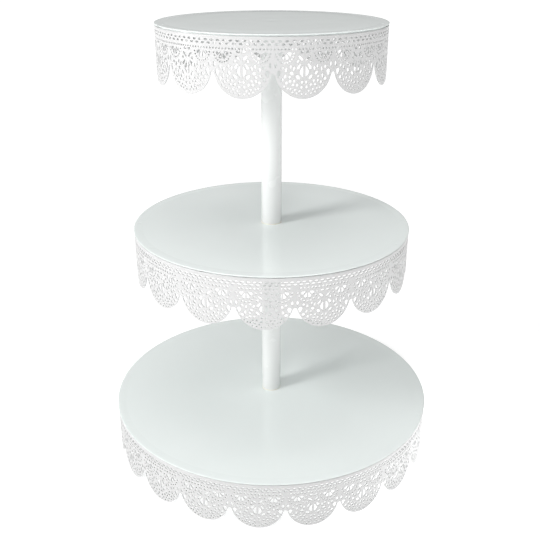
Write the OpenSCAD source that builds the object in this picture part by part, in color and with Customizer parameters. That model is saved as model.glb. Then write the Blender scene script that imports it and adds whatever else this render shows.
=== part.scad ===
// Three-tier cake stand: round steel plates with scalloped lace skirts, held on a screwed centre pole.
// Units are millimetres, +Z is up, the front is -Y, and the scallop tips of the bottom skirt stand on z = 0.

/* [Plates] */
// Diameter of the top plate
top_plate_d = 200; // [185:5:215]
// Diameter of the middle plate
middle_plate_d = 258; // [240:1:270]
// Diameter of the bottom plate
bottom_plate_d = 315; // [300:5:330]
// Thickness of the plate sheet
sheet_t = 0.9; // [0.8:0.1:1.2]
// Width of the hem folded under each plate's rim
hem_w = 9; // [8:1:14]

/* [Lace skirts] */
// Height of a skirt, from the plate's top to the scallop tips
skirt_drop = 48; // [44:1:56]
// Depth of a notch's apex below the plate's top
notch_drop = 28.7; // [27:0.1:31]
// Thickness of the lace strip
lace_t = 0.9; // [0.7:0.1:1.2]
// How far the plate's rim stands out over the skirt
rim_overhang = 0.3; // [0.2:0.1:1.5]
// Gap between neighbouring scallops where they are widest
scallop_gap = 2.2; // [2:0.1:4]
// Width of the small flat at each scallop's tip
tip_flat = 6; // [4:0.5:8]
// Scallops on the top skirt
top_scallops = 13; // [11:1:14]
// Scallops on the middle skirt
middle_scallops = 16; // [14:1:18]
// Scallops on the bottom skirt
bottom_scallops = 20; // [18:1:22]

/* [Poles] */
// Length of each pole tube
pole_l = 180; // [150:5:220]
// Outside diameter of the pole tubes
pole_d = 19; // [18:1:25]
// Wall thickness of the pole tubes
pole_wall = 1.2; // [1:0.1:1.6]

/* [Hardware] */
// Nominal diameter of the bolt and studs
thread_d = 8; // [6:1:8]
// Length of the threaded insert in each end of a pole
insert_l = 14; // [12:1:20]
// Length of thread that holds at each screwed joint
grip_l = 10; // [8:1:11]
// Thickness of the plastic gaskets at the ends of the poles
gasket_t = 0.75; // [0.5:0.05:1.2]

/* [Hidden] */

// Smoothness of round faces
$fn = 96;

// Colours
powder_white = [0.93, 0.95, 0.94];
zinc = [0.72, 0.73, 0.74];
plastic_tan = [0.80, 0.76, 0.66];

// Heights of the three plates' top faces
tier_step = sheet_t + pole_l + 2 * gasket_t;
bottom_z = skirt_drop;
middle_z = bottom_z + tier_step;
top_z = middle_z + tier_step;

// Rim: the sheet is folded under itself
hem_t = 2 * sheet_t;

// Turn of each skirt about the pole, as the azimuth of one notch from the front
top_turn = -1.8;
middle_turn = 6.2;
bottom_turn = 2.2;

// Clips welded between each skirt and its plate
top_clips = 10;
middle_clips = 12;
bottom_clips = 16;
clip_t = 0.8;
clip_leg = 6;
clip_h = 3;
clip_w = 8;

// Screwed joints: threads are plain cylinders with a running clearance
thread_play = 0.05;
hole_play = 0.1;
insert_play = 0.02;
insert_d = pole_d - 2 * (pole_wall + insert_play);
bore_d = thread_d + 2 * thread_play;
plate_hole_d = thread_d + 2 * hole_play;
gasket_d = pole_d + 0.4;
gasket_hole_d = thread_d + 0.6;

// Bolt and washer under the bottom plate
bolt_head_h = 0.65 * thread_d;
bolt_across_flats = 1.625 * thread_d;
washer_d = 3 * thread_d;
washer_t = 1.6;

// A round plate with its top face at z = 0 and a hem folded under the rim
module plate(d, hole_d) {
    hem_r = hem_t / 2;
    rotate_extrude()
        difference() {
            union() {
                translate([0, -sheet_t])
                    square([d / 2 - hem_r, sheet_t]);
                translate([d / 2 - hem_w, -hem_t])
                    square([hem_w - hem_r, hem_t]);
                translate([d / 2 - hem_r, -hem_r])
                    circle(r = hem_r);
            }
            if (hole_d > 0)
                translate([-1, -hem_t - 1])
                    square([hole_d / 2 + 1, hem_t + 2]);
        }
}

// Radius of the outside of a plate's skirt
function skirt_r(d) = d / 2 - rim_overhang;

// Length of skirt that each scallop takes
function scallop_pitch(d, count) = 2 * PI * skirt_r(d) / count;

// The outline of the gap between two scallops, with x along the skirt and y up
module notch_shape(d, count) {
    pitch = scallop_pitch(d, count);
    r = (pitch - scallop_gap) / 2;
    centre_y = sqrt(r * r - tip_flat * tip_flat / 4) - skirt_drop;
    difference() {
        translate([-pitch / 2, -skirt_drop - 1])
            square([pitch, skirt_drop - notch_drop + 1]);
        for (side = [-1, 1])
            translate([side * pitch / 2, centre_y])
                circle(r = r);
    }
}

// A lace strip rolled into a ring that hangs from the hem of a plate whose top is at z = 0
module lace_skirt(d, count, turn) {
    r = skirt_r(d);
    reach = 6;
    difference() {
        rotate_extrude()
            translate([r - lace_t, -skirt_drop])
                square([lace_t, skirt_drop - hem_t]);
        for (i = [0 : count - 1])
            rotate([0, 0, turn - 90 + i * 360 / count])
                translate([r - reach, 0, 0])
                    rotate([90, 0, 90])
                        linear_extrude(2 * reach)
                            notch_shape(d, count);
    }
}

// Folded clips, welded to the hem and to the inside of the skirt's plain top band
module skirt_clips(d, count, turn) {
    r = skirt_r(d) - lace_t;
    span = clip_w / r * 180 / PI;
    for (i = [0 : count - 1])
        rotate([0, 0, turn - 90 + i * 360 / count - span / 2])
            rotate_extrude(angle = span)
                translate([r, -hem_t])
                    polygon([
                        [0, 0], [-clip_leg, 0], [-clip_leg, -clip_t],
                        [-clip_t, -clip_t], [-clip_t, -clip_h], [0, -clip_h]
                    ]);
}

// A pole tube that stands on z = 0
module pole_tube() {
    difference() {
        cylinder(d = pole_d, h = pole_l);
        translate([0, 0, -1])
            cylinder(d = pole_d - 2 * pole_wall, h = pole_l + 2);
    }
}

// A threaded insert whose mouth is at z = 0 and which goes up into the pole
module threaded_insert() {
    difference() {
        cylinder(d = insert_d, h = insert_l);
        translate([0, 0, -1])
            cylinder(d = bore_d, h = insert_l + 2);
    }
}

// The insert for the upper end of a pole that stands on z = 0
module head_insert() {
    translate([0, 0, pole_l])
        mirror([0, 0, 1])
            threaded_insert();
}

// A thin plastic ring that lies on z = 0
module gasket() {
    difference() {
        cylinder(d = gasket_d, h = gasket_t);
        translate([0, 0, -1])
            cylinder(d = gasket_hole_d, h = gasket_t + 2);
    }
}

// A threaded rod with chamfered ends, from z = low to z = high
module stud(low, high) {
    chamfer = 0.8;
    r = thread_d / 2;
    rotate_extrude()
        polygon([
            [0, low], [r - chamfer, low], [r, low + chamfer],
            [r, high - chamfer], [r - chamfer, high], [0, high]
        ]);
}

module bottom_plate() {
    color(powder_white)
        translate([0, 0, bottom_z])
            plate(bottom_plate_d, plate_hole_d);
}

module bottom_lace_skirt() {
    color(powder_white)
        translate([0, 0, bottom_z])
            lace_skirt(bottom_plate_d, bottom_scallops, bottom_turn);
}

module bottom_skirt_clips() {
    color(powder_white)
        translate([0, 0, bottom_z])
            skirt_clips(bottom_plate_d, bottom_clips, 0);
}

module base_bolt() {
    under_washer = bottom_z - sheet_t - washer_t;
    color(zinc) {
        translate([0, 0, under_washer - bolt_head_h])
            cylinder(d = bolt_across_flats / cos(30), h = bolt_head_h, $fn = 6);
        stud(under_washer - bolt_head_h / 2, bottom_z + gasket_t + grip_l);
    }
}

module base_washer() {
    color(zinc)
        translate([0, 0, bottom_z - sheet_t - washer_t])
            difference() {
                cylinder(d = washer_d, h = washer_t);
                translate([0, 0, -1])
                    cylinder(d = plate_hole_d, h = washer_t + 2);
            }
}

module lower_pole_foot_gasket() {
    color(plastic_tan)
        translate([0, 0, bottom_z])
            gasket();
}

module lower_pole_tube() {
    color(powder_white)
        translate([0, 0, bottom_z + gasket_t])
            pole_tube();
}

module lower_pole_foot_insert() {
    color(zinc)
        translate([0, 0, bottom_z + gasket_t])
            threaded_insert();
}

module lower_pole_head_insert() {
    color(zinc)
        translate([0, 0, bottom_z + gasket_t])
            head_insert();
}

module joining_stud() {
    pole_head = middle_z - sheet_t - gasket_t;
    color(zinc)
        stud(pole_head - grip_l, middle_z + gasket_t + grip_l);
}

module lower_pole_head_gasket() {
    color(plastic_tan)
        translate([0, 0, middle_z - sheet_t - gasket_t])
            gasket();
}

module middle_plate() {
    color(powder_white)
        translate([0, 0, middle_z])
            plate(middle_plate_d, plate_hole_d);
}

module middle_lace_skirt() {
    color(powder_white)
        translate([0, 0, middle_z])
            lace_skirt(middle_plate_d, middle_scallops, middle_turn);
}

module middle_skirt_clips() {
    color(powder_white)
        translate([0, 0, middle_z])
            skirt_clips(middle_plate_d, middle_clips, 0);
}

module upper_pole_foot_gasket() {
    color(plastic_tan)
        translate([0, 0, middle_z])
            gasket();
}

module upper_pole_tube() {
    color(powder_white)
        translate([0, 0, middle_z + gasket_t])
            pole_tube();
}

module upper_pole_foot_insert() {
    color(zinc)
        translate([0, 0, middle_z + gasket_t])
            threaded_insert();
}

module upper_pole_head_insert() {
    color(zinc)
        translate([0, 0, middle_z + gasket_t])
            head_insert();
}

module top_gasket() {
    color(plastic_tan)
        translate([0, 0, top_z - sheet_t - gasket_t])
            gasket();
}

module top_plate() {
    color(powder_white)
        translate([0, 0, top_z])
            plate(top_plate_d, 0);
}

module top_lace_skirt() {
    color(powder_white)
        translate([0, 0, top_z])
            lace_skirt(top_plate_d, top_scallops, top_turn);
}

module top_skirt_clips() {
    color(powder_white)
        translate([0, 0, top_z])
            skirt_clips(top_plate_d, top_clips, 0);
}

module top_weld_stud() {
    color(zinc)
        stud(top_z - sheet_t - gasket_t - grip_l, top_z - sheet_t);
}

bottom_plate();
bottom_lace_skirt();
bottom_skirt_clips();
base_bolt();
base_washer();
lower_pole_foot_gasket();
lower_pole_tube();
lower_pole_foot_insert();
lower_pole_head_insert();
joining_stud();
lower_pole_head_gasket();
middle_plate();
middle_lace_skirt();
middle_skirt_clips();
upper_pole_foot_gasket();
upper_pole_tube();
upper_pole_foot_insert();
upper_pole_head_insert();
top_gasket();
top_plate();
top_lace_skirt();
top_skirt_clips();
top_weld_stud();
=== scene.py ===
import math

import bpy
import bmesh
import numpy as np
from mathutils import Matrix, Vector
from mathutils.geometry import delaunay_2d_cdt


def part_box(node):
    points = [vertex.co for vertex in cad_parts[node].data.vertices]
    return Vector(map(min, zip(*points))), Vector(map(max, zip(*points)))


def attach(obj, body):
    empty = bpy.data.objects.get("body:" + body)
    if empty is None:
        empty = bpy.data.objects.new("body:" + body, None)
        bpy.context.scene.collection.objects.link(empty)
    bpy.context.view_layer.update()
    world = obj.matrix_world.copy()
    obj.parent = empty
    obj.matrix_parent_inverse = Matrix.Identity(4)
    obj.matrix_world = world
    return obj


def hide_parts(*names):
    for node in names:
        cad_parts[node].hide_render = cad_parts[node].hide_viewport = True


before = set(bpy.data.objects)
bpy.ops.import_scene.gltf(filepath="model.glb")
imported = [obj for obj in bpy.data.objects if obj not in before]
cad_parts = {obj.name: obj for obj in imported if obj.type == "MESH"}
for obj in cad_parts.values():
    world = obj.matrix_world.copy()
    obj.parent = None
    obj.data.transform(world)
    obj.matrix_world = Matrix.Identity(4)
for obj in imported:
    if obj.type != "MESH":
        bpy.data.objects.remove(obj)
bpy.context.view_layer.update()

MM = 0.001

# ---------------------------------------------------------------- sizes of the sheet metal, in mm
SHEET_T = 0.9
HEM_W = 9.0
HEM_T = 1.8
LACE_T = 0.9
RIM_OVERHANG = 0.3
SHOULDER_W = 1.7
SHOULDER_DROP = 0.45
RIM_EDGE = 0.3
HEM_INSET = 1.6
LACE_BEND = 0.6
HEM_MARK_W = 1.1
HEM_MARK_DEPTH = 0.05
HEM_MARK_INSET = 0.8
# The radius and depth of a weld's dimple, and how far the ring of spot welds is from the rim
SPOT_WELD = (1.5, 0.14)
STUD_WELD = (7.0, 0.16)
WELD_INSET = 5.0
SKIRT_DROP = 48.0
NOTCH_DROP = 28.7
NOTCH_R = 1.6
SCALLOP_GAP = 2.2
POLE_R = 9.5
POLE_WALL = 1.2
POLE_EDGE = 0.35
THREAD_R = 4.0
THREAD_PITCH = 1.25
THREAD_DEPTH = 0.62
# How far the thread's crests stay inside the CAD model's plain cylinder
CREST_GAP = 0.01
HOLE_R = 4.1
BOLT_ACROSS_FLATS = 13.0
BOLT_HEAD_H = 5.2
# How deep the bolt's thread starts inside its head
THREAD_SUNK = 1.0

# ---------------------------------------------------------------- fineness of the meshes
PLATE_STEPS = 288
SHOULDER_STEPS = 10
HOLE_STEPS = 48
POLE_STEPS = 128
THREAD_STEPS = 28
HEAD_STEPS = 96
SCALLOP_STEPS = 56
TOP_EDGE_STEPS = 24
SEAM_STEPS = 8
ARCH_STEPS = 5
# The points that fill the lace's metal: their spacing, how far apart their rows are as a share of it, and
# how far they stay from edges
FILL_SPACING = 2.7
FILL_ROW = 0.866
FILL_CLEAR = 0.75
# Rows of points across the bend at the lace's top, as shares of its height
BEND_ROWS = (0.05, 0.15, 0.35, 0.65, 1.0)
# Circles of points in a plate, as shares of its radius, and how many points each has
PLATE_RINGS = ((0.72, 96), (0.42, 60), (0.18, 36))
# The same for a weld's dimple
WELD_RINGS = ((0.25, 8), (0.5, 12), (0.75, 16), (1.0, 20))
# Circles of points across the hem's mark, as shares of its half width
HEM_MARK_ROWS = (-1.0, -0.6, -0.3, 0.0, 0.3, 0.6, 1.0)

# Width of the scallop that the lace's holes are drawn for; each skirt stretches them a little.
LACE_PITCH = 48.8
# The lace's border: depths of two rows of ovals and a row of dots, how many of each a scallop takes and
# their sizes, the step from dot to dot, and which row of ovals has one on the notch's line. The lift is
# how much higher the flower sits.
WIDE_LACE = dict(rows=(5.7, 7.9, 11.2), ovals=10, oval=(3.5, 1.8), dots=14, step=3.04, dot=(1.8, 2.0),
                 notch_row=1, lift=0.0)
SMALL_LACE = dict(rows=(5.1, 7.4, 10.9), ovals=9, oval=(3.1, 1.7), dots=18, step=2.71, dot=(1.5, 1.5),
                  notch_row=0, lift=1.8)
WIDE_FAN = dict(x=14.3, d=13.7, across=5.6, down=7.0, gap=2.3, dots=9, size=1.7)
SMALL_FAN = dict(x=15.3, d=12.7, across=5.4, down=6.2, gap=1.8, dots=11, size=1.45)
# Each tier's scallops round the skirt, azimuth of one notch from the front in degrees, and spot welds
TIERS = {
    "bottom": dict(scallops=20, turn=2.2, welds=16, fan=WIDE_FAN, **WIDE_LACE),
    "middle": dict(scallops=16, turn=6.2, welds=12, fan=WIDE_FAN, **WIDE_LACE),
    "top": dict(scallops=13, turn=-1.8, welds=10, fan=SMALL_FAN, **SMALL_LACE),
}


def plate_top(tier):
    """Height of a plate's top face, in mm."""
    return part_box(tier + "_plate")[1].z / MM


def plate_r(tier):
    """Outer radius of a plate, in mm."""
    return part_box(tier + "_plate")[1].x / MM


# ---------------------------------------------------------------- mesh helpers

def mesh_object(name, verts, faces, smooth_deg=40.0):
    """A mesh object from points in mm, smooth but for edges sharper than smooth_deg."""
    mesh = bpy.data.meshes.new(name)
    mesh.from_pydata([(x * MM, y * MM, z * MM) for x, y, z in verts], [], faces)
    mesh.update()
    bm = bmesh.new()
    bm.from_mesh(mesh)
    bmesh.ops.recalc_face_normals(bm, faces=bm.faces)
    bm.to_mesh(mesh)
    bm.free()
    mesh.shade_smooth()
    mesh.set_sharp_from_angle(angle=math.radians(smooth_deg))
    obj = bpy.data.objects.new(name, mesh)
    bpy.context.scene.collection.objects.link(obj)
    return obj


def polar(r, azimuth):
    """A point at radius r and an azimuth in radians from the front, positive to the right."""
    return r * math.sin(azimuth), -r * math.cos(azimuth)


def circle(radius, count, phase=0.0):
    """Points round a circle, turned by a share of the step between them."""
    return [polar(radius, 2 * math.pi * (i + phase) / count) for i in range(count)]


def arc(x, y, r, start, end, steps):
    """Points on an arc, from start to end in degrees."""
    angles = [math.radians(start + (end - start) * i / steps) for i in range(steps + 1)]
    return [(x + r * math.cos(a), y + r * math.sin(a)) for a in angles]


def lathe(name, profile, steps):
    """A closed outline of (radius, height) points turned about the z axis."""
    verts, faces = [], []
    count = len(profile)
    for i in range(steps):
        a = 2 * math.pi * i / steps
        verts += [(r * math.cos(a), r * math.sin(a), z) for r, z in profile]
    for i in range(steps):
        here, there = i * count, (i + 1) % steps * count
        for j in range(count):
            k = (j + 1) % count
            faces.append((here + j, here + k, there + k, there + j))
    return mesh_object(name, verts, faces)


def inside(point, loop):
    """Whether a point is inside a closed outline."""
    x, y = point
    odd = False
    for (x0, y0), (x1, y1) in zip(loop, loop[1:] + loop[:1]):
        if (y0 > y) != (y1 > y) and x < x0 + (y - y0) / (y1 - y0) * (x1 - x0):
            odd = not odd
    return odd


def meshed(points, edges):
    """Triangles of a flat area, and its points, which can come out in another order. Edges stay edges."""
    inside_edges, tolerance = 1, 1e-6
    found = delaunay_2d_cdt([Vector(p) for p in points], edges, [], inside_edges, tolerance)
    return [(v.x, v.y) for v in found[0]], [tuple(f) for f in found[2]]


def middle_of(face, verts):
    """The middle of a triangle."""
    return sum(verts[i][0] for i in face) / 3, sum(verts[i][1] for i in face) / 3


def nearest(verts, point):
    """The number of the point in a list that is nearest to a place."""
    return min(range(len(verts)), key=lambda i: math.dist(verts[i], point))


# ---------------------------------------------------------------- outlines of the lace's holes
# x runs along the skirt from a scallop's axis and d down from the plate's top, both in mm.

def oval(x, d, w, h, tilt=0.0, sides=12):
    """An ellipse of width w and height h, tilted in degrees."""
    t = math.radians(tilt)
    out = []
    for i in range(sides):
        a = 2 * math.pi * (i + 0.5) / sides
        u, v = w / 2 * math.cos(a), h / 2 * math.sin(a)
        out.append((x + u * math.cos(t) - v * math.sin(t), d + u * math.sin(t) + v * math.cos(t)))
    return out


def dot(x, d, size):
    """A small round hole."""
    return oval(x, d, size, size, sides=9)


def drop(x0, d0, r0, x1, d1, r1, sides=9):
    """The outline round a large circle and a small one."""
    turn = math.degrees(math.atan2(d1 - d0, x1 - x0))
    lean = math.degrees(math.acos((r0 - r1) / math.hypot(x1 - x0, d1 - d0)))
    large = arc(x0, d0, r0, turn + lean, turn + 360 - lean, sides)
    return large + arc(x1, d1, r1, turn - lean, turn + lean, 4)


def wedge(x, d, start, end, rib, across, down, sides=6):
    """A sector of a fan, from start to end degrees below the horizontal, between two ribs."""
    blunt, blunt_turn, corner_trim = 0.35, 0.25, 0.12
    half = math.radians(end - start) / 2
    mid = math.radians(start + end) / 2
    root = rib / 2 / math.sin(half) + blunt
    out = []
    for a in (mid - blunt_turn, mid + blunt_turn):
        out.append((x + root * math.cos(a), d + root * math.sin(a)))
    for i in range(sides + 1):
        share = 1 - 2 * i / sides
        a = mid + share * (half - rib / 2 / across)
        trim = 1 - corner_trim * abs(share) ** 3
        out.append((x + across * trim * math.cos(a), d + down * trim * math.sin(a)))
    return out


def half_drop(x, d0, d1, bulge, sides=9):
    """A drop cut along its axis: a straight side at x and one that bulges most below its middle."""
    low_bulge = 1.2
    out = [(x, d1), (x, d0)]
    for i in range(1, sides + 1):
        t = i / (sides + 1)
        out.append((x + bulge * math.sin(math.pi * t ** low_bulge), d0 + (d1 - d0) * t))
    return out


# Holes right of a scallop's axis: (x, d, width, height, tilt in degrees)
FLOWER_OVALS = [
    (2.2, 14.8, 3.1, 1.9, -8),
    (2.9, 19.4, 5.2, 1.9, -45),
    (5.1, 21.7, 1.9, 2.3, -20),
    (5.1, 33.4, 4.2, 2.5, -45),
]
FIELD_OVALS = [
    (8.2, 27.0, 1.7, 3.3, -15),
    (10.7, 25.5, 1.7, 2.6, 0),
    (9.9, 30.5, 3.3, 2.4, -40),
    (14.3, 27.8, 1.8, 3.4, -14),
    (17.4, 26.3, 2.4, 2.4, 0),
    (22.3, 24.5, 2.0, 3.9, 0),
    (17.5, 35.2, 2.7, 2.9, 0),
    (15.0, 32.8, 1.8, 3.3, -10),
    (11.5, 33.3, 1.9, 2.0, 0),
    (13.9, 37.5, 2.1, 2.5, 0),
    (11.2, 36.3, 2.0, 2.4, 0),
    (7.9, 36.3, 1.9, 2.4, 0),
    (1.6, 37.2, 1.9, 2.3, 0),
    (5.5, 39.2, 2.1, 2.1, 0),
    (8.9, 39.1, 2.3, 2.0, 0),
    (2.1, 40.9, 2.1, 2.2, 0),
]
# Drops: (x, d, radius) of the large end and of the small one
DROPS = [
    ((4.9, 26.6, 1.15), (3.2, 24.0, 0.6)),
    ((20.0, 29.8, 1.75), (20.3, 32.6, 0.7)),
]
# The half drop beside the axis: its x, where it starts and ends, and how far it bulges
HALF_DROP = (0.85, 24.6, 33.7, 2.9)
# Dots of the lower field, along the scallop's edge: (x, d, size)
EDGE_DOTS = [
    (3.7, 43.3, 1.8), (7.2, 42.2, 1.9), (10.7, 41.5, 1.8), (15.8, 39.5, 1.7),
    (1.9, 45.6, 1.6), (5.7, 45.0, 1.6), (9.1, 44.1, 1.6), (13.0, 41.1, 1.7),
]


def fan(x, d, across, down, gap, dots, size):
    """Four wedges below a point, and an arc of dots a gap outside them and a little wider below."""
    rib, angle, first_dot, more_below = 1.25, 45, 10, 0.3
    out = [wedge(x, d, angle * i, angle * (i + 1), rib, across, down) for i in range(4)]
    arc_w, arc_h = across + gap, down + gap + more_below
    for i in range(dots):
        a = math.radians(first_dot + (180 - 2 * first_dot) * i / (dots - 1))
        out.append(dot(x + arc_w * math.cos(a), d + arc_h * math.sin(a), size))
    return out


def lace_holes(pitch, tier):
    """Every hole of one scallop. The dots along its edge are lifted less than the flower."""
    out = []
    step, lift = LACE_PITCH / tier["ovals"], tier["lift"]
    edge_lift = 0.7 * lift
    for row in (0, 1):
        first = step * (1.0 if row == tier["notch_row"] else 0.5) - LACE_PITCH / 2
        out += [oval(first + i * step, tier["rows"][row], *tier["oval"]) for i in range(tier["ovals"])]
    for i in range(tier["dots"]):
        x = (i - (tier["dots"] - 1) / 2) * tier["step"]
        out.append(oval(x, tier["rows"][2], *tier["dot"], sides=9))
    half = [oval(x, d - lift, *size) for x, d, *size in FLOWER_OVALS + FIELD_OVALS]
    half += [dot(x, d - edge_lift, size) for x, d, size in EDGE_DOTS]
    for (x0, d0, r0), (x1, d1, r1) in DROPS:
        half.append(drop(x0, d0 - lift, r0, x1, d1 - lift, r1))
    x, d0, d1, bulge = HALF_DROP
    half.append(half_drop(x, d0 - lift, d1 - lift, bulge))
    half += fan(**tier["fan"])
    out += half + [[(-x, d) for x, d in reversed(hole)] for hole in half]
    return [[(x * pitch / LACE_PITCH, d) for x, d in hole] for hole in out]


def seam(pitch, tier):
    """The line down the middle of the bar between two scallops.

    It steps aside round the oval on it, from a margin beyond that row to half way to the other one. Each
    step slopes a little.
    """
    margin, slope, below_rows = 1.2, 0.05, 1.6
    x, aside = pitch / 2, (pitch + pitch / tier["ovals"]) / 2
    first, second, _ = tier["rows"]
    between = (first + second) / 2
    high, low = (first - margin, between) if tier["notch_row"] == 0 else (between, second + margin)
    line = [(x, HEM_T)] + [(x, HEM_T + LACE_BEND * t) for t in BEND_ROWS]
    line += [(x, high - slope), (aside, high + slope), (aside, low - slope), (x, low + slope)]
    top = second + below_rows
    return line + [(x, top + (NOTCH_DROP - top) * i / SEAM_STEPS) for i in range(SEAM_STEPS + 1)]


def top_edge(pitch, d):
    """Points along one scallop's stretch at a depth, without its two ends."""
    return [(pitch * (i / TOP_EDGE_STEPS - 0.5), d) for i in range(1, TOP_EDGE_STEPS)]


def cell_outline(pitch, tier):
    """The outline of one scallop's stretch of strip, and the part of it that is the right seam."""
    r = (pitch - SCALLOP_GAP) / 2
    centre = SKIRT_DROP - r
    side = seam(pitch, tier)
    arch_d = NOTCH_DROP + NOTCH_R
    arch_w = pitch / 2 - math.sqrt(r * r - (arch_d - centre) ** 2)
    arch = []
    for i in range(1, ARCH_STEPS):
        a = math.radians(90 * i / ARCH_STEPS)
        arch.append((pitch / 2 - arch_w * math.sin(a), arch_d - NOTCH_R * math.cos(a)))
    low = math.degrees(math.asin((arch_d - centre) / r))
    scallop = arc(0, centre, r, low, 180 - low, SCALLOP_STEPS)
    top = top_edge(pitch, HEM_T)
    left = [(x - pitch, d) for x, d in reversed(side)]
    loop = side + arch + scallop + [(-x, d) for x, d in reversed(arch)] + left + top
    return loop, side


# ---------------------------------------------------------------- lace skirts

def filling(loop, holes):
    """Points of a staggered grid in the metal, away from every edge, so that the strip bends smoothly."""
    edges = []
    for outline in [loop] + holes:
        edges += [(*a, *b) for a, b in zip(outline, outline[1:] + outline[:1])]
    edges = np.array(edges)
    starts, runs = edges[:, :2], edges[:, 2:] - edges[:, :2]
    lengths = np.maximum((runs ** 2).sum(1), 1e-12)
    low_x, high_x = min(p[0] for p in loop), max(p[0] for p in loop)
    out = []
    for row in range(int(SKIRT_DROP / (FILL_SPACING * FILL_ROW)) + 1):
        d = HEM_T + row * FILL_SPACING * FILL_ROW
        for col in range(int((high_x - low_x) / FILL_SPACING) + 1):
            p = np.array((low_x + (col + row % 2 / 2) * FILL_SPACING, d))
            t = np.clip(((p - starts) * runs).sum(1) / lengths, 0, 1)
            near = np.sqrt((((starts + runs * t[:, None]) - p) ** 2).sum(1).min())
            if near > FILL_CLEAR and inside(p, loop) and not any(inside(p, hole) for hole in holes):
                out.append((float(p[0]), float(p[1])))
    return out


def triangulated(loop, holes, extra):
    """Triangles of the metal between an outline and its holes.

    Only holes that start within reach of a triangle are tried, as none is larger than that.
    """
    reach_x, reach_d = 7, 10
    points, edges = [], []
    for outline in [loop] + holes:
        first, count = len(points), len(outline)
        points += outline
        edges += [(first + i, first + (i + 1) % count) for i in range(count)]
    points += extra
    verts, triangles = meshed(points, edges)
    faces = []
    for f in triangles:
        x, d = middle_of(f, verts)
        near = [h for h in holes if abs(h[0][0] - x) < reach_x and abs(h[0][1] - d) < reach_d]
        if inside((x, d), loop) and not any(inside((x, d), hole) for hole in near):
            faces.append(f)
    return verts, faces


def bend(d):
    """How far the strip's top edge is rolled inwards, at a depth d below the plate's top."""
    over = max(0.0, HEM_T + LACE_BEND - d)
    return LACE_BEND - math.sqrt(max(0.0, LACE_BEND ** 2 - over ** 2))


def lace_skirt(name):
    """A pierced strip rolled into a ring under a plate's rim, one scallop after another."""
    tier = TIERS[name]
    outer = plate_r(name) - RIM_OVERHANG
    inner = outer - LACE_T
    top = plate_top(name)
    count = tier["scallops"]
    pitch = 2 * math.pi * outer / count
    holes = lace_holes(pitch, tier)
    loop, side = cell_outline(pitch, tier)
    rolled = [p for t in BEND_ROWS for p in top_edge(pitch, HEM_T + LACE_BEND * t)]
    cell, tris = triangulated(loop, holes, rolled + filling(loop, holes))
    right = [nearest(cell, p) for p in side]
    left = [nearest(cell, (x - pitch, d)) for x, d in side]
    shared = set(left)

    # Every cell but the first takes its left seam's points from the cell before, and the last one's right
    # seam is the first one's left.
    flat, places, index = [], [], []
    for k in range(count):
        own = {}
        for i, (x, d) in enumerate(cell):
            if i in shared and k > 0:
                continue
            own[i] = len(places)
            places.append((math.radians(tier["turn"]) + (x + (k + 0.5) * pitch) / outer, d))
        if k > 0:
            own.update({a: index[-1][b] for a, b in zip(left, right)})
        index.append(own)
    wrap = {index[-1][b]: index[0][a] for a, b in zip(left, right)}
    for own in index:
        flat += [tuple(wrap.get(own[i], own[i]) for i in f) for f in tris]

    # The last cell's own right seam is left over.
    keep = sorted({i for f in flat for i in f})
    renumber = {old: new for new, old in enumerate(keep)}
    flat = [tuple(renumber[i] for i in f) for f in flat]
    size = len(keep)
    verts = []
    for r in (outer, inner):
        for i in keep:
            azimuth, d = places[i]
            verts.append((*polar(r - bend(d), azimuth), top - d))
    # Sides that only one triangle has get a wall through the metal's thickness.
    single = {}
    for f in flat:
        for a, b in zip(f, f[1:] + f[:1]):
            if (b, a) in single:
                del single[(b, a)]
            else:
                single[(a, b)] = True
    faces = flat + [tuple(i + size for i in reversed(f)) for f in flat]
    faces += [(b, a, a + size, b + size) for a, b in single]
    return mesh_object(name + "_lace", verts, faces, smooth_deg=35)


# ---------------------------------------------------------------- plates

def dimple(distance, reach, depth):
    """Depth of a smooth dimple or groove, at a distance from its middle."""
    if distance >= reach:
        return 0.0
    return depth * (0.5 + 0.5 * math.cos(math.pi * distance / reach))


def disc_triangles(rim, hole, extra):
    """Triangles of a flat disc, with a round hole if there is an outline for one."""
    points = rim + hole + extra
    edges = [(i, (i + 1) % len(rim)) for i in range(len(rim))]
    edges += [(len(rim) + i, len(rim) + (i + 1) % len(hole)) for i in range(len(hole))]
    verts, triangles = meshed(points, edges)
    return verts, [f for f in triangles if not hole or not inside(middle_of(f, verts), hole)]


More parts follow.
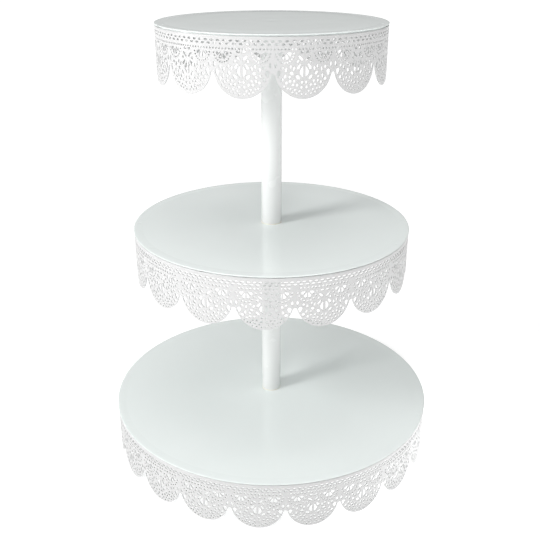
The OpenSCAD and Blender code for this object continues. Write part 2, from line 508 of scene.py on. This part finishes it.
def plate(name, hole_r):
    """A round sheet with a folded hem, and a ring of weld dimples near its rim.

    The hem's edge shows above as a faint groove. A plate without a hole has a weld's dimple in its middle.
    """
    tier = TIERS[name]
    r, top = plate_r(name), plate_top(name)
    flat_r = r - SHOULDER_W
    steps = PLATE_STEPS
    welds = [(p, *SPOT_WELD) for p in circle(r - WELD_INSET, tier["welds"])]
    if not hole_r:
        welds.append(((0.0, 0.0), *STUD_WELD))
    rim = circle(flat_r, steps)
    hole = circle(hole_r, HOLE_STEPS) if hole_r else []
    mark_r = r - HEM_W + HEM_MARK_INSET
    extra = [p for share, count in PLATE_RINGS for p in circle(r * share, count)]
    for i, share in enumerate(HEM_MARK_ROWS):
        extra += circle(mark_r + share * HEM_MARK_W, steps, i % 2 / 2)
    for (x, y), reach, _ in welds:
        extra.append((x, y))
        for share, count in WELD_RINGS:
            extra += [(x + u, y + v) for u, v in circle(share * reach, count, share)]
    face, tris = disc_triangles(rim, hole, extra)
    verts = []
    for x, y in face:
        sink = max(dimple(math.dist((x, y), p), reach, depth) for p, reach, depth in welds)
        groove = dimple(abs(math.hypot(x, y) - mark_r), HEM_MARK_W, HEM_MARK_DEPTH)
        verts.append((x, y, top - sink - groove))
    faces = list(tris)

    # The outline from the flat face over the rim, round the hem and back under the sheet to the middle
    shoulder = [math.radians(90 - 90 * i / SHOULDER_STEPS) for i in range(1, SHOULDER_STEPS + 1)]
    profile = [(flat_r + SHOULDER_W * math.cos(a), SHOULDER_DROP * (math.sin(a) - 1)) for a in shoulder]
    profile += arc(r - RIM_EDGE, RIM_EDGE - SHEET_T, RIM_EDGE, 0, -90, 4)
    profile += [(r - HEM_INSET, -SHEET_T), (r - HEM_INSET, -HEM_T)]
    profile += [(r - HEM_W, -HEM_T), (r - HEM_W, -SHEET_T)]
    profile.append((hole_r, -SHEET_T) if hole_r else (0.0, -SHEET_T))
    previous = [nearest(face, p) for p in rim]
    for radius, z in profile:
        if radius == 0.0:
            verts.append((0.0, 0.0, top + z))
            centre = len(verts) - 1
            faces += [(previous[i], previous[(i + 1) % steps], centre) for i in range(steps)]
            break
        ring = [len(verts) + i for i in range(steps)]
        verts += [(x, y, top + z) for x, y in circle(radius, steps)]
        for i in range(steps):
            j = (i + 1) % steps
            faces.append((previous[i], previous[j], ring[j], ring[i]))
        previous = ring
    if hole_r:
        edge = [nearest(face, p) for p in hole]
        ratio = steps // len(edge)
        for i in range(len(edge)):
            low = [previous[(i * ratio + j) % steps] for j in range(ratio + 1)]
            faces.append((edge[i], edge[(i + 1) % len(edge)], *reversed(low)))
    return mesh_object(name + "_plate_sheet", verts, faces, smooth_deg=30)


# ---------------------------------------------------------------- poles and threads

def pole(name, node):
    """A tube with rounded ends."""
    low, high = (c.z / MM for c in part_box(node))
    inner, edge = POLE_R - POLE_WALL, POLE_EDGE
    profile = [(inner, low), (POLE_R - edge, low)]
    profile += arc(POLE_R - edge, low + edge, edge, -90, 0, 4)[1:]
    profile += arc(POLE_R - edge, high - edge, edge, 0, 90, 4)
    profile.append((inner, high))
    return lathe(name, profile, POLE_STEPS)


def thread(low, high):
    """Points and faces of a helical thread with chamfered ends, from z = low to z = high in mm.

    The crest is 1 on the thread's flat top and 0 at its root. The taper is 0 at the ends and 1 from 1 mm in.
    """
    flank_start, flank_slope, chamfer = 1.35, 3.4, 0.4
    steps = THREAD_STEPS
    rows_a_turn = steps / 4
    root, tip = THREAD_R - THREAD_DEPTH, THREAD_R - CREST_GAP
    rows = int((high - low) / THREAD_PITCH * rows_a_turn)
    verts, faces = [], []
    for i in range(rows + 1):
        z = low + (high - low) * i / rows
        taper = min(1.0, z - low, high - z)
        for j in range(steps):
            a = 2 * math.pi * j / steps
            phase = (z / THREAD_PITCH - j / steps) % 1.0
            crest = min(1.0, max(0.0, flank_start - abs(phase - 0.5) * flank_slope))
            r = min(root + (tip - root) * crest * taper, root - chamfer + taper)
            verts.append((r * math.cos(a), r * math.sin(a), z))
    for i in range(rows):
        for j in range(steps):
            k = (j + 1) % steps
            faces.append((i * steps + j, i * steps + k, (i + 1) * steps + k, (i + 1) * steps + j))
    faces.append(tuple(reversed(range(steps))))
    faces.append(tuple(rows * steps + j for j in range(steps)))
    return verts, faces


def hexagon_head(low, high):
    """Points and faces of a bolt's head, with its lower corners turned off.

    The cone lists heights, and the radius that the hexagon is turned down to at each.
    """
    steps, flats = HEAD_STEPS, BOLT_ACROSS_FLATS / 2
    face_r, edge_r, cone_r, uncut = 0.9 * flats, 0.92 * flats, 0.99 * flats, 2 * flats
    edge_h, cone_slope = 0.25, 1.75
    verts, faces = [], []
    cone = [(low, face_r), (low, edge_r), (low + edge_h, cone_r)]
    cone += [(low + edge_h + t, cone_r + cone_slope * t) for t in (0.2, 0.4, 0.6, 0.8, 1.0)]
    cone += [(high - 0.3, uncut), (high, uncut)]
    for z, limit in cone:
        for j in range(steps):
            a = 2 * math.pi * j / steps
            # Angle from the nearest corner
            corner = (a + math.pi / 6) % (math.pi / 3) - math.pi / 6
            side = flats / math.cos(math.pi / 6 - abs(corner))
            verts.append((*polar(min(side, limit), a + math.pi / 2), z))
    for i in range(len(cone) - 1):
        for j in range(steps):
            k = (j + 1) % steps
            faces.append((i * steps + j, i * steps + k, (i + 1) * steps + k, (i + 1) * steps + j))
    faces.append(tuple(reversed(range(steps))))
    faces.append(tuple((len(cone) - 1) * steps + j for j in range(steps)))
    return verts, faces


def joined(name, parts):
    """One object from several closed solids, each a list of points and a list of faces."""
    verts, faces = [], []
    for points, polygons in parts:
        first = len(verts)
        verts += points
        faces += [tuple(first + i for i in f) for f in polygons]
    return mesh_object(name, verts, faces, smooth_deg=30)


# ---------------------------------------------------------------- materials

# Most of a noise texture's values are between these.
NOISE_RANGE = (0.3, 0.7)


class Graph:
    """A short way to write a node material."""

    def __init__(self, name):
        self.material = bpy.data.materials.new(name)
        self.material.use_nodes = True
        self.nodes = self.material.node_tree.nodes
        self.links = self.material.node_tree.links
        self.shader = self.nodes["Principled BSDF"]
        self.place = self.add("ShaderNodeTexCoord").outputs["Object"]

    def add(self, kind, **settings):
        """A new node."""
        node = self.nodes.new(kind)
        for key, value in settings.items():
            setattr(node, key, value)
        return node

    def noise(self, scale, detail=3.0, stretch=None):
        """A noise texture of the object's own place, in metres, which can be stretched along each axis."""
        node = self.add("ShaderNodeTexNoise")
        node.inputs["Scale"].default_value = scale
        node.inputs["Detail"].default_value = detail
        node.inputs["Roughness"].default_value = 0.5
        place = self.place
        if stretch:
            mapping = self.add("ShaderNodeMapping")
            mapping.inputs["Scale"].default_value = stretch
            self.links.new(place, mapping.inputs["Vector"])
            place = mapping.outputs["Vector"]
        self.links.new(place, node.inputs["Vector"])
        return node.outputs["Fac"]

    def ramp(self, value, low, high):
        """A colour ramp over a noise's usual range, from one colour to another."""
        node = self.add("ShaderNodeValToRGB")
        for element, position, colour in zip(node.color_ramp.elements, NOISE_RANGE, (low, high)):
            element.position = position
            element.color = (*colour, 1)
        self.links.new(value, node.inputs["Fac"])
        return node.outputs["Color"]

    def span(self, value, low, high):
        """A noise's usual range stretched to low to high."""
        node = self.add("ShaderNodeMapRange")
        for socket, number in zip(("From Min", "From Max", "To Min", "To Max"), (*NOISE_RANGE, low, high)):
            node.inputs[socket].default_value = number
        self.links.new(value, node.inputs["Value"])
        return node.outputs["Result"]

    def bump(self, heights):
        """Bumps laid over one another; heights are (value, depth in metres)."""
        normal = None
        for value, depth in heights:
            node = self.add("ShaderNodeBump")
            node.inputs["Distance"].default_value = depth
            node.inputs["Strength"].default_value = 1.0
            self.links.new(value, node.inputs["Height"])
            if normal:
                self.links.new(normal, node.inputs["Normal"])
            normal = node.outputs["Normal"]
        self.links.new(normal, self.shader.inputs["Normal"])

    def set(self, **values):
        """Plain values of the shader's inputs, with _ for a space in their names."""
        for key, value in values.items():
            self.shader.inputs[key.replace("_", " ")].default_value = value

    def drive(self, socket, value):
        """Links a node's output to one of the shader's inputs."""
        self.links.new(value, self.shader.inputs[socket])


def powder_coat(name, light, dark, roughness, peel):
    """Baked white coating: slow drifts of tone and gloss, and orange peel whose depth is in metres."""
    drift, gloss, coarse, fine = 9, 45, 420, 1900
    graph = Graph(name)
    graph.drive("Base Color", graph.ramp(graph.noise(drift, 2), dark, light))
    graph.drive("Roughness", graph.span(graph.noise(gloss, 3), *roughness))
    graph.bump([(graph.noise(coarse, 2), peel), (graph.noise(fine, 1), peel * 0.3)])
    graph.set(IOR=1.5)
    return graph.material


def zinc_plate():
    """Bright zinc plating with turned marks and faint stains."""
    turned, turned_depth = (1, 1, 14), 0.00002
    graph = Graph("zinc_plating")
    graph.drive("Base Color", graph.ramp(graph.noise(160, 4), (0.60, 0.61, 0.62), (0.76, 0.77, 0.78)))
    graph.drive("Roughness", graph.span(graph.noise(260, 4), 0.24, 0.42))
    graph.bump([(graph.noise(300, 2, turned), turned_depth)])
    graph.set(Metallic=1.0)
    return graph.material


def gasket_plastic():
    """Milky soft plastic, faintly amber."""
    grain_depth = 0.00001
    graph = Graph("gasket_plastic")
    graph.drive("Base Color", graph.ramp(graph.noise(240, 3), (0.72, 0.68, 0.60), (0.82, 0.79, 0.72)))
    graph.drive("Roughness", graph.span(graph.noise(300, 3), 0.38, 0.55))
    graph.bump([(graph.noise(900, 2), grain_depth)])
    graph.set(IOR=1.45, Subsurface_Weight=0.15, Subsurface_Scale=0.002)
    return graph.material


def use(obj, material):
    """Gives an object one material in place of those it has."""
    obj.data.materials.clear()
    obj.data.materials.append(material)


# ---------------------------------------------------------------- the stand

def place(obj, material, slot, body, node):
    """Finishes a piece: its material, the body it rides on and the CAD node it stands for."""
    use(obj, material)
    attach(obj, body)
    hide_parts(node)


plate_coat = powder_coat("plate_powder_coat", light=(0.79, 0.83, 0.818), dark=(0.77, 0.812, 0.80),
                         roughness=(0.08, 0.12), peel=0.0000015)
lace_coat = powder_coat("lace_powder_coat", light=(0.57, 0.57, 0.57), dark=(0.555, 0.555, 0.555),
                        roughness=(0.30, 0.42), peel=0.000006)
pole_coat = powder_coat("pole_powder_coat", light=(0.755, 0.765, 0.76), dark=(0.74, 0.755, 0.745),
                        roughness=(0.24, 0.28), peel=0.0000015)
zinc = zinc_plate()
plastic = gasket_plastic()

for tier in TIERS:
    body = tier + "_tier"
    place(lace_skirt(tier), lace_coat, "lace_powder_coat", body, tier + "_lace_skirt")
    hole = 0.0 if tier == "top" else HOLE_R
    place(plate(tier, hole), plate_coat, "plate_powder_coat", body, tier + "_plate")

for end in ("lower", "upper"):
    node = end + "_pole_tube"
    place(pole(end + "_pole", node), pole_coat, "pole_powder_coat", end + "_pole", node)

for node, body in (("joining_stud", "lower_pole"), ("top_weld_stud", "top_tier")):
    low, high = (c.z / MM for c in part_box(node))
    place(joined(node + "_thread", [thread(low, high)]), zinc, "zinc_hardware", body, node)

low, high = (c.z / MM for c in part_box("base_bolt"))
head_top = low + BOLT_HEAD_H
bolt = joined("base_bolt_threaded", [hexagon_head(low, head_top), thread(head_top - THREAD_SUNK, high)])
place(bolt, zinc, "zinc_hardware", "bottom_tier", "base_bolt")

# The other nodes keep the CAD model's shape, and get a look by the ending of their names.
CAD_LOOKS = {"clips": plate_coat, "gasket": plastic, "insert": zinc, "washer": zinc}
for name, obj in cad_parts.items():
    for ending, material in CAD_LOOKS.items():
        if name.endswith(ending):
            use(obj, material)
            obj.data.shade_smooth()
            obj.data.set_sharp_from_angle(angle=math.radians(30))


# ---------------------------------------------------------------- floor, light and camera

def glow(graph, centre, radii, strengths):
    """Light that the floor gives off: one strength near a point, blending to another further away."""
    distance = graph.add("ShaderNodeVectorMath", operation="DISTANCE")
    distance.inputs[1].default_value = centre
    graph.links.new(graph.place, distance.inputs[0])
    blend = graph.add("ShaderNodeMapRange", interpolation_type="SMOOTHSTEP")
    for socket, number in zip(("From Min", "From Max", "To Min", "To Max"), (*radii, *strengths)):
        blend.inputs[socket].default_value = number
    graph.links.new(distance.outputs["Value"], blend.inputs["Value"])
    return blend.outputs["Result"]


def floor():
    """White paper that glows, and more so on the stand's right, to light the bottom skirt there."""
    reach = 12.0
    mesh = bpy.data.meshes.new("floor")
    corners = [(-reach, -reach, 0), (reach, -reach, 0), (reach, reach, 0), (-reach, reach, 0)]
    mesh.from_pydata(corners, [], [(0, 1, 2, 3)])
    obj = bpy.data.objects.new("floor", mesh)
    bpy.context.scene.collection.objects.link(obj)
    graph = Graph("floor_paper")
    graph.drive("Base Color", graph.ramp(graph.noise(2, 2), (0.54, 0.54, 0.54), (0.56, 0.56, 0.56)))
    graph.set(Roughness=0.9, Specular_IOR_Level=0.1, Emission_Color=(1, 1, 1, 1))
    paper = glow(graph, centre=(0.0, 0.0, 0.0), radii=(0.3, 4.0), strengths=(0.63, 1.0))
    bounce = glow(graph, centre=(0.3, -0.12, 0.0), radii=(0.05, 0.3), strengths=(1.5, 0.0))
    both = graph.add("ShaderNodeMath", operation="ADD")
    graph.links.new(paper, both.inputs[0])
    graph.links.new(bounce, both.inputs[1])
    graph.drive("Emission Strength", both.outputs["Value"])
    use(obj, graph.material)


# The point that the soft boxes face, and for each of them its azimuth from the front and elevation in
# degrees, distance and width in metres, and power in watts
AIM = Vector((0, 0, 0.2))
SOFT_BOXES = {
    "key": (-62, 31, 2.2, 0.6, 26.5),
    "window": (-88, 10, 2.2, 1.0, 8.5),
    "front": (-8, 28, 2.2, 1.0, 15.5),
    "overhead": (0, 88, 2.2, 2.0, 17.5),
    "right": (72, 24, 2.4, 2.0, 13.0),
    "back": (180, 30, 2.4, 2.0, 3.6),
}


def around(azimuth, elevation, distance):
    """A place seen from the stand: azimuth in degrees from the front, positive to the right."""
    a, e = math.radians(azimuth), math.radians(elevation)
    x, y = polar(distance * math.cos(e), a)
    return AIM + Vector((x, y, distance * math.sin(e)))


def area_light(name, place, size, power):
    """A square soft box that faces the stand."""
    lamp = bpy.data.lights.new(name, "AREA")
    lamp.shape = "SQUARE"
    lamp.size = size
    lamp.energy = power
    obj = bpy.data.objects.new(name, lamp)
    obj.location = place
    obj.rotation_euler = (AIM - place).to_track_quat("-Z", "Y").to_euler()
    bpy.context.scene.collection.objects.link(obj)


def studio():
    """A grey surround, a shade greener at the horizon, and the soft boxes."""
    world = bpy.data.worlds.new("studio")
    bpy.context.scene.world = world
    world.use_nodes = True
    nodes, links = world.node_tree.nodes, world.node_tree.links
    back = nodes["Background"]
    coord = nodes.new("ShaderNodeTexCoord")
    split = nodes.new("ShaderNodeSeparateXYZ")
    ramp = nodes.new("ShaderNodeValToRGB")
    links.new(coord.outputs["Generated"], split.inputs["Vector"])
    links.new(split.outputs["Z"], ramp.inputs["Fac"])
    links.new(ramp.outputs["Color"], back.inputs["Color"])
    horizon, overhead = ramp.color_ramp.elements
    horizon.position = 0.0
    horizon.color = (0.355, 0.365, 0.362, 1)
    overhead.position = 0.7
    overhead.color = (0.36, 0.36, 0.36, 1)
    back.inputs["Strength"].default_value = 0.49
    for name, (azimuth, elevation, distance, width, power) in SOFT_BOXES.items():
        area_light(name, around(azimuth, elevation, distance), width, power)


def camera():
    """A camera in front of the stand and a little above its top plate, looking down."""
    above_top = 0.0666
    pitch, yaw = 23.61, 2.26
    cam = bpy.data.cameras.new("camera")
    cam.sensor_width = 36
    cam.lens = 51.03
    cam.clip_end = 60
    obj = bpy.data.objects.new("camera", cam)
    obj.location = (-0.0284, -0.6845, plate_top("top") * MM + above_top)
    obj.rotation_euler = (math.radians(90 - pitch), 0, math.radians(-yaw))
    bpy.context.scene.collection.objects.link(obj)
    bpy.context.scene.camera = obj


floor()
studio()
camera()
bpy.context.scene.view_settings.view_transform = "Standard"
